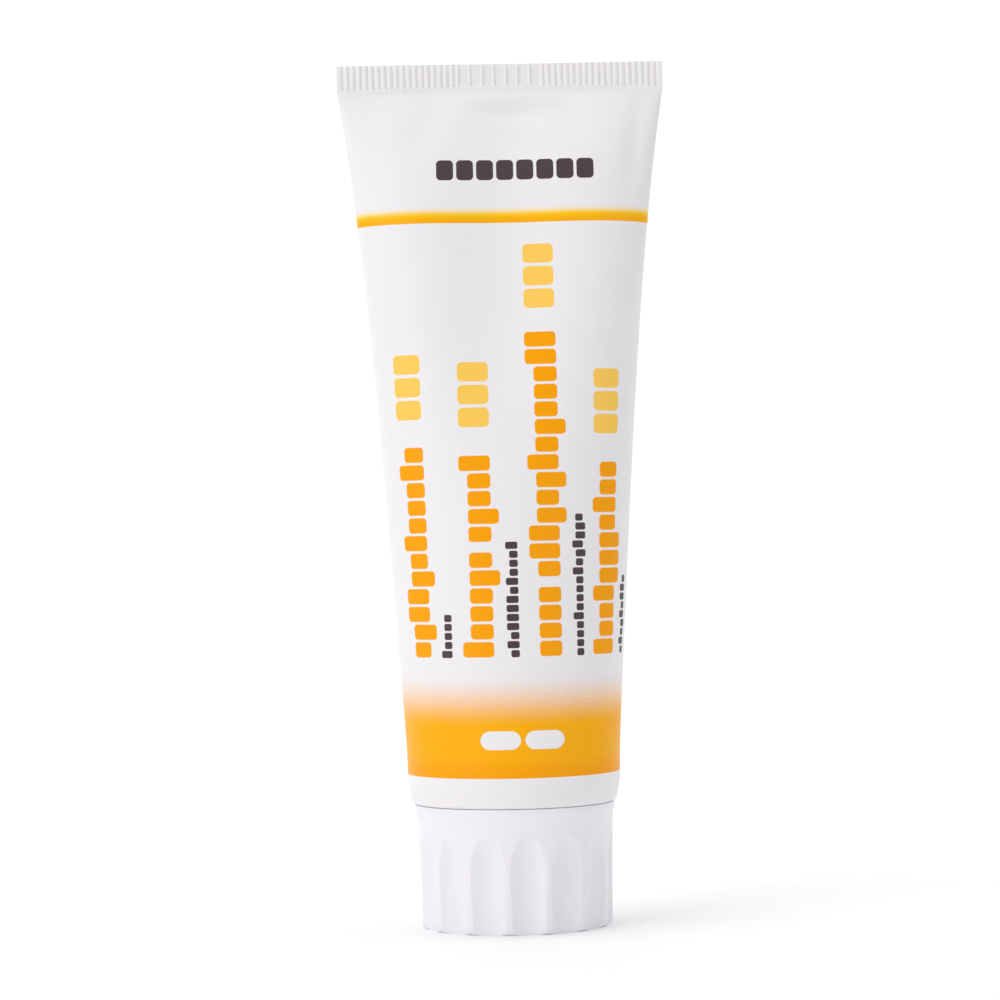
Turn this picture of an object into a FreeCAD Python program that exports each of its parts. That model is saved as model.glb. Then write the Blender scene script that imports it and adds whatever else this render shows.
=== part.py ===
"""Squeeze tube of dental prophylaxis paste, standing on its fluted screw cap.

Frame: millimetres, +Z up. The origin is the centre of the cap's closed end, which is the face
the tube stands on. X runs along the flat tail seal, and the printed front faces -Y.

From the bottom up: a screw cap with a loose sealing wad in it, a threaded nozzle with a foil
seal on its mouth, a shoulder lined by a barrier disc, and a laminate sleeve full of paste. The
sleeve starts round at the shoulder and ends flat at the tail, and its perimeter is the same all
the way, because the laminate doesn't stretch.
"""

import FreeCAD, Part

import math
import os

V = FreeCAD.Vector
Z = V(0, 0, 1)

# Driving dimensions
SLEEVE_DIAMETER = 32.0
OVERALL_HEIGHT = 130.0
CAP_HEIGHT = 18.5
TAIL_HEIGHT = 3.9
WALL = 0.4
THREAD_PITCH = 3.0
FLUTES = 15
PASTE_VOLUME = 60000.0

# Sleeve
SLEEVE_R = SLEEVE_DIAMETER / 2
PERIMETER = math.pi * (SLEEVE_DIAMETER - WALL)
ROUND_TOP = CAP_HEIGHT + 4.7  # the sleeve is a plain round up to here
TAIL_BOTTOM = OVERALL_HEIGHT - TAIL_HEIGHT
TAIL_HALF_WIDTH = 24.7
TAIL_THICKNESS = 0.8
TAIL_RIB_DEPTH = 0.14
TAIL_RIB_PITCH = 0.94
TAIL_CELLS = 7  # smooth fields in the middle of the seal
TAIL_CELL_PITCH = 1.8
TAIL_CELL_GAP = 0.35
TAIL_CELL_DEPTH = 0.1
TAIL_CELL_MARGIN = 0.5  # above and below a cell
TAIL_RIB_SHARES = (0.25, 0.6, 0.85)  # of a pitch: crest begins, crest ends, valley begins
FLARE_LINEAR = 0.74  # share of the flare that grows evenly with height
FLARE_POWER = 4.4  # the rest comes close to the tail
FLARE_EASE = 0.03
SECTIONS = 16
SHOULDER_EDGE_R = 15.05
SHOULDER_EDGE_Z = CAP_HEIGHT + 0.25
CORNER_FOOT_R = 15.5  # the rounded lower corner: its foot, and how far its two arcs bulge
CORNER_FOOT_RISE = 0.55
CORNER_EDGE_INSET = 0.35
CORNER_BULGE = (0.12, 0.1)
SIDE_BULGE = 0.14
MOUTH_LIP = 0.4
CLOSED_DEPTH = 0.3  # the cavity ends where it is this thin to either side of the middle
BONDED_GAP = 0.03  # between pieces that are welded face to face
PASTE_GAP = 0.06

# Shoulder and nozzle
SHOULDER_SLOPE = math.tan(math.radians(30))
SHOULDER_WALL = 1.1
BARRIER_WALL = 0.3
NOZZLE_R = 5.7
NOZZLE_BORE_R = 3.5
NOZZLE_MOUTH_Z = 2.75
NOZZLE_LIP = 0.35
HEAD_SKIRT_WALL = 0.9
NECK_FILLET = (0.9, 1.2)  # the cone between nozzle and shoulder: how wide and how deep
NECK_ROOTING = 0.5
CONE_EDGE_GAP = 0.05
BARRIER_HOLE_GAP = 0.4
BARRIER_EDGE_GAP = 0.1

# Thread: one right-hand ridge on the nozzle and one in the cap, half a pitch apart
MALE_CREST_R = 6.5
MALE_WIDTHS = (1.5, 0.9)  # along the axis at the root and at the crest
MALE_START_Z = 4.6
MALE_TURNS = 2.0
FEMALE_CREST_R = 5.87
FEMALE_WIDTHS = (1.4, 0.8)
FEMALE_TURNS = 1.5
RIDGE_ROOTING = 0.25  # how deep a ridge reaches into the wall it stands on

# Cap
CAP_BASE_R = 14.4
CAP_WALL_TOP_R = 14.75
CAP_RIM_R = 15.05
CAP_RIM_Z = 17.9
CAP_RIM_CHAMFER = 0.1
CAP_RIM_FLARE = 1.5  # height over which the wall widens to the rim
CAP_BASE_THICKNESS = 1.4
CAP_BASE_CHAMFER = 0.45
CAP_INSIDE_R = 12.5
CAP_RECESS_R = 10.0
CAP_RECESS_DEPTH = 0.3
CAP_GATE_R = 1.5
CAP_GATE_DEPTH = 0.25
CAP_SLEEVE_R = 8.0
CAP_SLEEVE_BORE_R = 6.62
CAP_SLEEVE_TOP = 12.9
CAP_RIBS = 6
CAP_RIB_THICKNESS = 0.9
CAP_RIB_TOP = 9.5
CAP_RIB_FIRST_ANGLE = 30.0
CAP_ROOTING = (0.3, 0.2)  # how far ribs reach into a wall, and ribs and sleeve into the base
FLUTE_R = 4.3
FLUTE_DEPTH = 0.95
FLUTE_STRAIGHT_TOP = 8.8
FLUTE_RUNOUT_R = 12.7
FLUTE_RUNOUT_ANGLE = 38.0
FLUTE_FIRST_ANGLE = -84.3

# Sealing wad and foil
WAD_R = 6.3
WAD_THICKNESS = 1.0
WAD_GAP = 0.02
WAD_CHAMFER = 0.15
FOIL_R = 5.35
FOIL_THICKNESS = 0.12
FOIL_TAB_R = 5.2
FOIL_TAB_FOLD = 0.4  # the tab's straight edge, from the middle

# Searches for a height, and how far a cutter reaches past what it cuts
HALVINGS = 60
LEVEL_HALVINGS = 9
LEVEL_RANGE = (40.0, 3.0)  # the paste's level lies this far under the tail, at most and at least
ROUND_ENOUGH = 1e-6
PAST = 1.0


def line(a, b):
    return Part.makeLine(V(a[0], 0, a[1]), V(b[0], 0, b[1]))


def arc(a, middle, b):
    points = [V(p[0], 0, p[1]) for p in (a, middle, b)]
    return Part.Arc(*points).toShape()


def revolved(edges):
    """The solid that a closed outline of (radius, height) edges sweeps round the Z axis."""
    face = Part.Face(Part.Wire(edges))
    return face.revolve(V(0, 0, 0), Z, 360)


def revolved_polygon(points):
    return revolved([line(a, b) for a, b in zip(points, points[1:] + points[:1])])


def cylinder(radius, bottom, top):
    return Part.makeCylinder(radius, top - bottom, V(0, 0, bottom))


def shoulder_z(radius):
    """Height of the shoulder's outer cone at a radius: it drops towards the nozzle."""
    return SHOULDER_EDGE_Z - (SHOULDER_EDGE_R - radius) * SHOULDER_SLOPE


def down_the_cone(thickness):
    """How much higher a parallel cone lies when a wall of this thickness is between them."""
    return thickness / math.cos(math.atan(SHOULDER_SLOPE))


# ---- sleeve ----------------------------------------------------------------------------------


def flare(share):
    """How far the half-width has grown from the round to the tail, from 0 to 1."""
    eased = share - FLARE_EASE * (1 - math.exp(-share / FLARE_EASE))
    eased /= 1 - FLARE_EASE
    return FLARE_LINEAR * eased + (1 - FLARE_LINEAR) * share**FLARE_POWER


def half_width(z):
    share = max(0.0, (z - ROUND_TOP) / (TAIL_BOTTOM - ROUND_TOP))
    return SLEEVE_R + (TAIL_HALF_WIDTH - SLEEVE_R) * flare(share)


def ellipse_perimeter(a, b):
    h = ((a - b) / (a + b)) ** 2
    return math.pi * (a + b) * (1 + 3 * h / (10 + math.sqrt(4 - 3 * h)))


def half_depth(z):
    """Half the sleeve's depth front to back, which keeps its perimeter the same."""
    a = half_width(z) - WALL / 2
    low, high = 0.0, a
    for _ in range(HALVINGS):
        b = (low + high) / 2
        if ellipse_perimeter(a, b) < PERIMETER:
            low = b
        else:
            high = b
    return max(b + WALL / 2, TAIL_THICKNESS / 2)


def sleeve_section(z, inset):
    a, b = half_width(z) - inset, half_depth(z) - inset
    if a - b < ROUND_ENOUGH:
        edge = Part.Circle(V(0, 0, z), Z, a).toShape()
    else:
        edge = Part.Ellipse(V(a, 0, z), V(0, b, z), V(0, 0, z)).toShape()
    return Part.Wire(edge)


def sleeve_loft(bottom, top, inset):
    """The solid inside the sleeve's surface, moved in by inset. Sections crowd towards the top."""
    shares = [math.sin(math.pi / 2 * i / SECTIONS) for i in range(SECTIONS + 1)]
    heights = [bottom + (top - bottom) * s for s in shares]
    return Part.makeLoft([sleeve_section(z, inset) for z in heights], True, False)


def shoulder_corner(inset):
    """The rounded lower end of the sleeve, moved in by inset, as a solid of revolution."""
    side = SLEEVE_R - inset
    foot = (CORNER_FOOT_R - inset, SHOULDER_EDGE_Z + CORNER_FOOT_RISE + inset)
    edge_r = SHOULDER_EDGE_R - CORNER_EDGE_INSET
    edge = (edge_r, shoulder_z(edge_r) + down_the_cone(inset))
    corner_r = (foot[0] + edge_r) / 2 + CORNER_BULGE[0]
    corner = (corner_r, (foot[1] + edge[1]) / 2 - CORNER_BULGE[1])
    bulge = ((side + foot[0]) / 2 + SIDE_BULGE, (foot[1] + ROUND_TOP) / 2)
    outline = [
        line((0, edge[1]), edge),
        arc(edge, corner, foot),
        arc(foot, bulge, (side, ROUND_TOP)),
        line((side, ROUND_TOP), (0, ROUND_TOP)),
        line((0, ROUND_TOP), (0, edge[1])),
    ]
    return revolved(outline)


def cavity_top(inset):
    """Where the two walls come together under the tail."""
    low, high = ROUND_TOP, TAIL_BOTTOM
    for _ in range(HALVINGS):
        z = (low + high) / 2
        if half_depth(z) - inset > CLOSED_DEPTH:
            low = z
        else:
            high = z
    return low


def tail_outline():
    """The tail seal's outline from above: a rib every pitch, and a plain stretch in the middle."""
    crest = TAIL_THICKNESS / 2
    valley = crest - TAIL_RIB_DEPTH
    plain = TAIL_CELLS * TAIL_CELL_PITCH / 2
    ribs = int((TAIL_HALF_WIDTH - plain) / TAIL_RIB_PITCH)
    rise, fall, end = [share * TAIL_RIB_PITCH for share in TAIL_RIB_SHARES]
    steps = []
    for i in range(ribs):
        x = TAIL_HALF_WIDTH - (ribs - i) * TAIL_RIB_PITCH
        steps += [(x, valley), (x + rise, crest), (x + fall, crest), (x + end, valley)]
    steps.append((TAIL_HALF_WIDTH, valley))
    right = [V(x, y, TAIL_BOTTOM) for x, y in steps]
    left = [V(-p.x, p.y, p.z) for p in reversed(right)]
    front = [V(p.x, -p.y, p.z) for p in reversed(left + right)]
    return left + right + front


def tail_cells():
    """Shallow blank fields pressed into the front of the seal's plain middle."""
    width = TAIL_CELL_PITCH - TAIL_CELL_GAP
    height = TAIL_HEIGHT - 2 * TAIL_CELL_MARGIN
    y = -TAIL_THICKNESS / 2 + TAIL_RIB_DEPTH
    z = TAIL_BOTTOM + TAIL_CELL_MARGIN
    first = -(TAIL_CELLS - 1) / 2 * TAIL_CELL_PITCH - width / 2
    return [
        Part.makeBox(width, TAIL_CELL_DEPTH, height, V(first + i * TAIL_CELL_PITCH, y, z))
        for i in range(TAIL_CELLS)
    ]


def tube_sleeve():
    outside = shoulder_corner(0).fuse(sleeve_loft(ROUND_TOP, TAIL_BOTTOM, 0))
    inside = shoulder_corner(WALL).fuse(sleeve_loft(ROUND_TOP, cavity_top(WALL), WALL))
    # the head closes the bottom, so everything inside the edge's radius is open there
    mouth_r = SHOULDER_EDGE_R - MOUTH_LIP
    mouth = cylinder(mouth_r, shoulder_z(mouth_r) - PAST, ROUND_TOP - PAST)
    points = tail_outline()
    tail = Part.Face(Part.makePolygon(points + points[:1])).extrude(V(0, 0, TAIL_HEIGHT))
    for cell in tail_cells():
        tail = tail.cut(cell)
    return outside.cut(inside).cut(mouth).fuse(tail)


# ---- shoulder, nozzle and what lines them ----------------------------------------------------


def ridge(radius, crest_radius, widths, start_z, turns, rooting):
    """One turn or more of thread: a trapezoid on a wall of this radius, swept up a helix."""
    inward = -1 if crest_radius < radius else 1
    root = radius - inward * rooting
    slope = (widths[0] - widths[1]) / (2 * abs(crest_radius - radius))
    root_half = widths[0] / 2 + slope * rooting
    crest_half = widths[1] / 2
    corners = [(root, -root_half), (crest_radius, -crest_half)]
    corners += [(crest_radius, crest_half), (root, root_half)]
    points = [V(r, 0, start_z + z) for r, z in corners]
    helix = Part.makeHelix(THREAD_PITCH, turns * THREAD_PITCH, radius)
    helix.translate(V(0, 0, start_z))
    profile = Part.Wire(Part.makePolygon(points + points[:1]))
    swept = Part.Wire(helix).makePipeShell([profile], True, True)
    if swept.Volume < 0:
        swept.reverse()
    return swept


def tube_head():
    skirt_r = SLEEVE_R - WALL - BONDED_GAP
    outside = shoulder_corner(WALL + BONDED_GAP)
    neck_r = NOZZLE_R + NECK_FILLET[0]
    neck_z = shoulder_z(neck_r)
    cone_r = SHOULDER_EDGE_R - MOUTH_LIP - CONE_EDGE_GAP
    shoulder = revolved_polygon(
        [
            (0, neck_z),
            (neck_r, neck_z),
            (cone_r, shoulder_z(cone_r)),
            (cone_r, ROUND_TOP),
            (0, ROUND_TOP),
        ]
    )
    rise = down_the_cone(SHOULDER_WALL)
    inner_r = skirt_r - HEAD_SKIRT_WALL
    hollow = revolved_polygon(
        [
            (0, shoulder_z(NOZZLE_BORE_R) + rise),
            (NOZZLE_BORE_R, shoulder_z(NOZZLE_BORE_R) + rise),
            (inner_r, shoulder_z(inner_r) + rise),
            (inner_r, ROUND_TOP + PAST),
            (0, ROUND_TOP + PAST),
        ]
    )
    nozzle = revolved_polygon(
        [
            (0, NOZZLE_MOUTH_Z),
            (NOZZLE_R - NOZZLE_LIP, NOZZLE_MOUTH_Z),
            (NOZZLE_R, NOZZLE_MOUTH_Z + NOZZLE_LIP),
            (NOZZLE_R, shoulder_z(NOZZLE_R) - NECK_FILLET[1]),
            (neck_r, neck_z),
            (neck_r, neck_z + NECK_ROOTING),
            (0, neck_z + NECK_ROOTING),
        ]
    )
    thread = ridge(NOZZLE_R, MALE_CREST_R, MALE_WIDTHS, MALE_START_Z, MALE_TURNS, RIDGE_ROOTING)
    bore = cylinder(NOZZLE_BORE_R, NOZZLE_MOUTH_Z - PAST, ROUND_TOP)
    return outside.fuse(shoulder).fuse(nozzle).cut(hollow).cut(bore).fuse(thread)


def barrier_heights(radius):
    """Bottom and top of the barrier disc at a radius. It lies on the inside of the shoulder."""
    bottom = shoulder_z(radius) + down_the_cone(SHOULDER_WALL) + BONDED_GAP
    return bottom, bottom + down_the_cone(BARRIER_WALL)


def barrier_outer_r():
    return SLEEVE_R - WALL - BONDED_GAP - HEAD_SKIRT_WALL - BARRIER_EDGE_GAP


def shoulder_barrier():
    inner, outer = NOZZLE_BORE_R + BARRIER_HOLE_GAP, barrier_outer_r()
    low, high = barrier_heights(inner), barrier_heights(outer)
    return revolved_polygon([(inner, low[0]), (outer, high[0]), (outer, high[1]), (inner, low[1])])


def mouth_seal():
    """A foil disc on the nozzle's mouth with a half-moon pull tab folded under it."""
    middle = NOZZLE_MOUTH_Z - FOIL_THICKNESS
    bottom = middle - FOIL_THICKNESS
    disc = cylinder(FOIL_R, middle, NOZZLE_MOUTH_Z)
    tab = cylinder(FOIL_TAB_R, bottom, middle)
    corner = V(-FOIL_TAB_R, FOIL_TAB_FOLD, bottom)
    half = Part.makeBox(2 * FOIL_TAB_R, FOIL_TAB_R, FOIL_THICKNESS, corner)
    return disc.fuse(tab.common(half))


def paste_body(top):
    """Paste up to a level: in the nozzle's bore, in the cone over the barrier, and in the sleeve."""
    channel = cylinder(NOZZLE_BORE_R - PASTE_GAP, NOZZLE_MOUTH_Z + PASTE_GAP, ROUND_TOP)
    outer = barrier_outer_r() - PASTE_GAP
    inner = NOZZLE_BORE_R - PASTE_GAP
    cone = revolved_polygon(
        [
            (0, barrier_heights(inner)[1] + PASTE_GAP),
            (inner, barrier_heights(inner)[1] + PASTE_GAP),
            (outer, barrier_heights(outer)[1] + PASTE_GAP),
            (outer, ROUND_TOP),
            (0, ROUND_TOP),
        ]
    )
    above = sleeve_loft(ROUND_TOP, cavity_top(WALL + PASTE_GAP), WALL + PASTE_GAP)
    below_top = cylinder(TAIL_HALF_WIDTH + PAST, ROUND_TOP, top)
    return above.common(below_top).fuse(cone).fuse(channel)


def paste_fill():
    """Paste up to the level at which it has its nominal volume, which leaves air under the tail."""
    low, high = [TAIL_BOTTOM - below for below in LEVEL_RANGE]
    for _ in range(LEVEL_HALVINGS):
        level = (low + high) / 2
        if paste_body(level).Volume < PASTE_VOLUME:
            low = level
        else:
            high = level
    return paste_body((low + high) / 2)


# ---- cap and wad -----------------------------------------------------------------------------


def flute(angle):
    """The cutter for one grip flute: upright from the closed end, then curving out of the wall."""
    axis_r = CAP_BASE_R - FLUTE_DEPTH + FLUTE_R
    straight = Part.makeCylinder(FLUTE_R, FLUTE_STRAIGHT_TOP + PAST, V(axis_r, 0, -PAST))
    circle = Part.Circle(V(axis_r, 0, FLUTE_STRAIGHT_TOP), Z, FLUTE_R).toShape()
    disc = Part.Face(Part.Wire(circle))
    centre = V(axis_r + FLUTE_RUNOUT_R, 0, FLUTE_STRAIGHT_TOP)
    runout = disc.revolve(centre, V(0, 1, 0), FLUTE_RUNOUT_ANGLE)
    cutter = straight.fuse(runout).removeSplitter()
    cutter.rotate(V(0, 0, 0), Z, angle)
    return cutter


def cap_outside():
    return revolved_polygon(
        [
            (0, 0),
            (CAP_BASE_R - CAP_BASE_CHAMFER, 0),
            (CAP_BASE_R, CAP_BASE_CHAMFER),
            (CAP_WALL_TOP_R, CAP_RIM_Z - CAP_RIM_FLARE),
            (CAP_RIM_R, CAP_RIM_Z),
            (CAP_RIM_R, CAP_HEIGHT - CAP_RIM_CHAMFER),
            (CAP_RIM_R - CAP_RIM_CHAMFER, CAP_HEIGHT),
            (0, CAP_HEIGHT - (CAP_RIM_R - CAP_RIM_CHAMFER) * SHOULDER_SLOPE),
        ]
    )


def inner_rib(angle):
    """One of the ribs between the cap's threaded sleeve and its wall."""
    into_wall, into_base = CAP_ROOTING
    foot = CAP_BASE_THICKNESS - into_base
    length = CAP_INSIDE_R - CAP_SLEEVE_R + 2 * into_wall
    corner = V(CAP_SLEEVE_R - into_wall, -CAP_RIB_THICKNESS / 2, foot)
    rib = Part.makeBox(length, CAP_RIB_THICKNESS, CAP_RIB_TOP - foot, corner)
    rib.rotate(V(0, 0, 0), Z, angle)
    return rib


def screw_cap():
    outside = cap_outside()
    for i in range(FLUTES):
        outside = outside.cut(flute(FLUTE_FIRST_ANGLE + i * 360.0 / FLUTES))
    inside = cylinder(CAP_INSIDE_R, CAP_BASE_THICKNESS, CAP_HEIGHT + PAST)
    sleeve = cylinder(CAP_SLEEVE_R, CAP_BASE_THICKNESS - CAP_ROOTING[1], CAP_SLEEVE_TOP)
    body = outside.cut(inside).fuse(sleeve)
    for i in range(CAP_RIBS):
        body = body.fuse(inner_rib(CAP_RIB_FIRST_ANGLE + i * 360.0 / CAP_RIBS))
    body = body.cut(cylinder(CAP_SLEEVE_BORE_R, CAP_BASE_THICKNESS, CAP_HEIGHT))
    body = body.cut(cylinder(CAP_RECESS_R, -PAST, CAP_RECESS_DEPTH))
    body = body.cut(cylinder(CAP_GATE_R, -PAST, CAP_RECESS_DEPTH + CAP_GATE_DEPTH))
    start = MALE_START_Z + THREAD_PITCH / 2
    thread = ridge(
        CAP_SLEEVE_BORE_R, FEMALE_CREST_R, FEMALE_WIDTHS, start, FEMALE_TURNS, RIDGE_ROOTING
    )
    return body.fuse(thread)


def cap_liner():
    bottom = CAP_BASE_THICKNESS + WAD_GAP
    wad = cylinder(WAD_R, bottom, bottom + WAD_THICKNESS)
    rims = [edge for edge in wad.Edges if edge.Curve.TypeId == "Part::GeomCircle"]
    return wad.makeChamfer(WAD_CHAMFER, rims)


PIECES = {
    "screw_cap": screw_cap,
    "cap_liner": cap_liner,
    "mouth_seal": mouth_seal,
    "tube_head": tube_head,
    "shoulder_barrier": shoulder_barrier,
    "tube_sleeve": tube_sleeve,
    "paste_fill": paste_fill,
}


def main():
    os.makedirs("parts", exist_ok=True)
    for name, make in PIECES.items():
        shape = make()
        solids = shape.Solids
        piece = solids[0] if len(solids) == 1 else Part.Compound(solids)
        box = piece.BoundBox
        print(
            f"{name}: {len(solids)} solid, valid {piece.isValid()}, {piece.Volume:.0f} mm3, "
            f"z {box.ZMin:.2f} to {box.ZMax:.2f}, x {box.XLength:.2f}, y {box.YLength:.2f}"
        )
        piece.exportStep(os.path.join("parts", name + ".step"))


main()
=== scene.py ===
import math

import bpy
import numpy as np
from mathutils import Matrix, Vector


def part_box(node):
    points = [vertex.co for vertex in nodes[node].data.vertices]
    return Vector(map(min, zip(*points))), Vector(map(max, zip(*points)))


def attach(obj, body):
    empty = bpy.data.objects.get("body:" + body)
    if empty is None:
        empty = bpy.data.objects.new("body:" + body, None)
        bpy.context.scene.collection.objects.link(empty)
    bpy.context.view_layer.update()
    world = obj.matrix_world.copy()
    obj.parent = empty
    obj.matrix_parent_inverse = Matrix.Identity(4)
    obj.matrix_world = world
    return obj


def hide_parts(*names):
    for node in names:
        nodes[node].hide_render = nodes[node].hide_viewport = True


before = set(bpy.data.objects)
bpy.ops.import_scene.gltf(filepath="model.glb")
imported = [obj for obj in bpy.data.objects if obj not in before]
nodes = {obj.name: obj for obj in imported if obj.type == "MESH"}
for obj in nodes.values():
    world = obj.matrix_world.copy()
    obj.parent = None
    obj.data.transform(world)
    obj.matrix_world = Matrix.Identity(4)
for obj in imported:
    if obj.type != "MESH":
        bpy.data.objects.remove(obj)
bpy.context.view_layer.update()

# A white squeeze tube of dental prophylaxis paste, standing on its fluted screw cap.
# Sizes are in millimetres in the frame of the CAD model, and the meshes are scaled to metres.

MM = 0.001


def node_box(node):
    """A CAD node's lowest and highest corners, in millimetres."""
    low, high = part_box(node)
    return low / MM, high / MM


SLEEVE_LOW, SLEEVE_HIGH = node_box("tube_sleeve")
CAP_HIGH = node_box("screw_cap")[1]
BARRIER_LOW, BARRIER_HIGH = node_box("shoulder_barrier")
SEAL_HIGH = node_box("mouth_seal")[1]
PASTE_HIGH = node_box("paste_fill")[1]

# Sleeve: the same driving dimensions as the CAD sleeve
RADIUS = SLEEVE_HIGH.y
TAIL_HALF_WIDTH = SLEEVE_HIGH.x
TAIL_TOP = SLEEVE_HIGH.z
TAIL_HEIGHT = 3.9
TAIL_BOTTOM = TAIL_TOP - TAIL_HEIGHT
TAIL_HALF_THICKNESS = 0.4
SHOULDER_EDGE_Z = SLEEVE_LOW.z + 0.2
ROUND_TOP = SHOULDER_EDGE_Z + 4.45
SHOULDER_SLOPE = math.tan(math.radians(30))
SHOULDER_WELD_R = 14.7  # the sleeve's lower edge, welded to the head
SHOULDER_WELD_DROP = 0.35
SHOULDER_FOOT = (15.5, 0.55)  # radius, and height over the edge
SHOULDER_CORNER_BULGE = (0.19, 0.2)
SHOULDER_SIDE_BULGE = 0.14
INNER_CORNER_RISE = 0.46  # of the inner wall over the outer one, round the corner
MOUTH_EDGE = (14.66, 0.15)  # radius, and depth under the shoulder's edge
WALL = 0.4
PERIMETER = math.pi * (2 * RADIUS - WALL)
FLARE_EASE = 0.03
FLARE_LINEAR = 0.74  # share of the flare that grows evenly with height
FLARE_LATE = 0.26  # the rest comes close to the tail
FLARE_POWER = 4.4
HALVINGS = 50  # steps in the search for a depth
COLUMNS = 288
FINE = 3  # columns in the tail for each one in the body
SECTION_SAMPLES = 1441
INNER_TOP = 118.0  # the inner wall is drawn up to here
INNER_RINGS = 50
RING_STEPS = (0.8, 0.35)  # between rings of the wall, below and above this height
RING_STEP_CHANGE = 116.0
FIRST_RING_STEP = 0.7

# Part-empty top: the walls are drawn in over the middle, and bulge a little at the sides of it
SLACK_GROWS = (58, 104)
SLACK_FADES = 119
SLACK_BULGE = 0.10
SLACK_FRONT = 0.40
SLACK_BACK = 0.22
SLACK_WIDTH = 0.5  # of the half-width

# Dents in the front wall, each a smooth hollow. A row is: depth; side, which is 1 or -1 for a place
# measured from that edge of the sleeve; place and width across; height and width up; and lean.
DENTS = (
    (1.15, 0, 2.0, 6.2, 122.6, 1.9, 0.0),
    (0.45, 0, 2.5, 7.0, 118.5, 3.4, 0.0),
    (0.45, 0, 9.5, 2.0, 121.5, 3.4, 0.55),
    (0.40, 0, -10.0, 2.8, 120.5, 4.5, -0.35),
    (0.42, 1, -3.4, 1.5, 117.0, 7.0, 0.0),
    (0.20, -1, 4.2, 2.2, 117.0, 6.0, 0.0),
    (0.10, 0, -6.0, 6.0, 84.0, 9.0, 0.0),
    (0.10, 0, 8.0, 5.0, 62.0, 12.0, 0.0),
)
LEAN_FROM = 124  # height at which a leaning dent has its stated place
DENTS_END = 1.2  # under the tail seal

# Lapped weld up the middle of the back
LAP_HEIGHT = 0.07
LAP_EDGE = (0.6, 0.95)

# Tail seal
RIB_PITCH = 0.94
RIB_DEPTH = 0.27
RIB_WIDTH = 0.21  # of a valley, as a share of the pitch
CELLS = 7
CELL_PITCH = 1.8
CELL_FLOOR = 0.55  # share of the ribs' depth at a cell's border
CELL_TOP = (3.2, 3.5)  # above here the cells are shallower
CELL_TOP_LOSS = 0.45
SEAL_ARCH = 0.35  # how much higher the seal's lower edge is in the middle
SEAL_BEAD = 0.05  # height of the soft ridge along that edge
SEAL_BEAD_WIDTH = 0.14
SEAL_WAVE = 0.12  # how far the seal's top edge waves front to back
SEAL_RISES = (
    0.0, 0.12, 0.24, 0.36, 0.48, 0.6, 0.75, 0.95, 1.2,
    1.6, 2.2, 2.8, 3.1, 3.3, 3.45, 3.6, 3.8, 3.9,
)
WEDGE_SLOPE = 0.62  # how steeply each wall can leave the seal


def smoothstep(low, high, value):
    t = np.clip((value - low) / (high - low), 0, 1)
    return t * t * (3 - 2 * t)


def hill(value, centre, width):
    return np.exp(-(((value - centre) / width) ** 2))


def arc_points(a, middle, b, count):
    """Points on the circle through three (radius, height) points, from a to b."""
    (ax, ay), (bx, by), (cx, cy) = a, middle, b
    d = 2 * (ax * (by - cy) + bx * (cy - ay) + cx * (ay - by))
    sa, sb, sc = ax * ax + ay * ay, bx * bx + by * by, cx * cx + cy * cy
    ox = (sa * (by - cy) + sb * (cy - ay) + sc * (ay - by)) / d
    oy = (sa * (cx - bx) + sb * (ax - cx) + sc * (bx - ax)) / d
    radius = math.hypot(ax - ox, ay - oy)
    start = math.atan2(ay - oy, ax - ox)
    sweep = (math.atan2(cy - oy, cx - ox) - start + math.pi) % (2 * math.pi) - math.pi
    angles = [start + sweep * i / count for i in range(count + 1)]
    return [(ox + radius * math.cos(t), oy + radius * math.sin(t)) for t in angles]


# ---- a closed mesh made of rings -----------------------------------------------------------


class Skin:
    """A mesh built ring by ring. Each face corner keeps its place on the sleeve in millimetres."""

    def __init__(self):
        self.points = []
        self.faces = []
        self.places = []
        self.last = None

    def ring(self, points, along=None):
        """Adds a ring of points, joined to the ring before it. Its points run anticlockwise
        seen from above. along holds one value for each point and one more for the way round."""
        count = len(points)
        start = len(self.points)
        self.points.extend(map(tuple, points))
        along = np.zeros(count + 1) if along is None else along
        heights = [p[2] for p in points]
        new = (start, count, along, heights)
        if self.last:
            self._join(self.last, new)
        self.last = new
        return new

    def _corner(self, ring, j):
        start, count, along, heights = ring
        return start + j % count, (along[j], heights[j % count], 0.0)

    def _face(self, corners):
        self.faces.append([c[0] for c in corners])
        self.places.extend(c[1] for c in corners)

    def _join(self, a, b):
        finer = b[1] // a[1]
        for j in range(a[1]):
            upper = [self._corner(b, k) for k in range((j + 1) * finer, j * finer - 1, -1)]
            self._face([self._corner(a, j), self._corner(a, j + 1)] + upper)

    def close_across(self, ring, up):
        """Closes a flat ring with a strip between its front and its back."""
        count = ring[1]
        half, quarter = count // 2, count // 4
        for i in range(-quarter, quarter):
            order = [i, i + 1, half - i - 1, half - i]
            if i + 1 == quarter:
                order = [i, i + 1, half - i]
            if i == -quarter:
                order = [i, i + 1, half - i - 1]
            corners = [self._corner(ring, k % count) for k in order]
            self._face(corners if up else corners[::-1])

    def close_point(self, ring, point, first):
        """Closes a ring with a fan to a point on the axis, before the first ring or after the last."""
        middle = (len(self.points), (0.0, point[2], 0.0))
        self.points.append(tuple(point))
        for j in range(ring[1]):
            pair = [self._corner(ring, j), self._corner(ring, j + 1)]
            self._face([middle] + pair[::-1] if first else pair + [middle])

    def make(self, name, sharp=35.0):
        mesh = bpy.data.meshes.new(name)
        mesh.from_pydata((np.array(self.points) * MM).tolist(), [], self.faces)
        places = mesh.attributes.new("place", "FLOAT_VECTOR", "CORNER")
        places.data.foreach_set("vector", np.array(self.places, np.float32).ravel())
        mesh.shade_smooth()
        mesh.set_sharp_from_angle(angle=math.radians(sharp))
        piece = bpy.data.objects.new(name, mesh)
        bpy.context.scene.collection.objects.link(piece)
        return piece


# ---- sleeve --------------------------------------------------------------------------------


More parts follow.
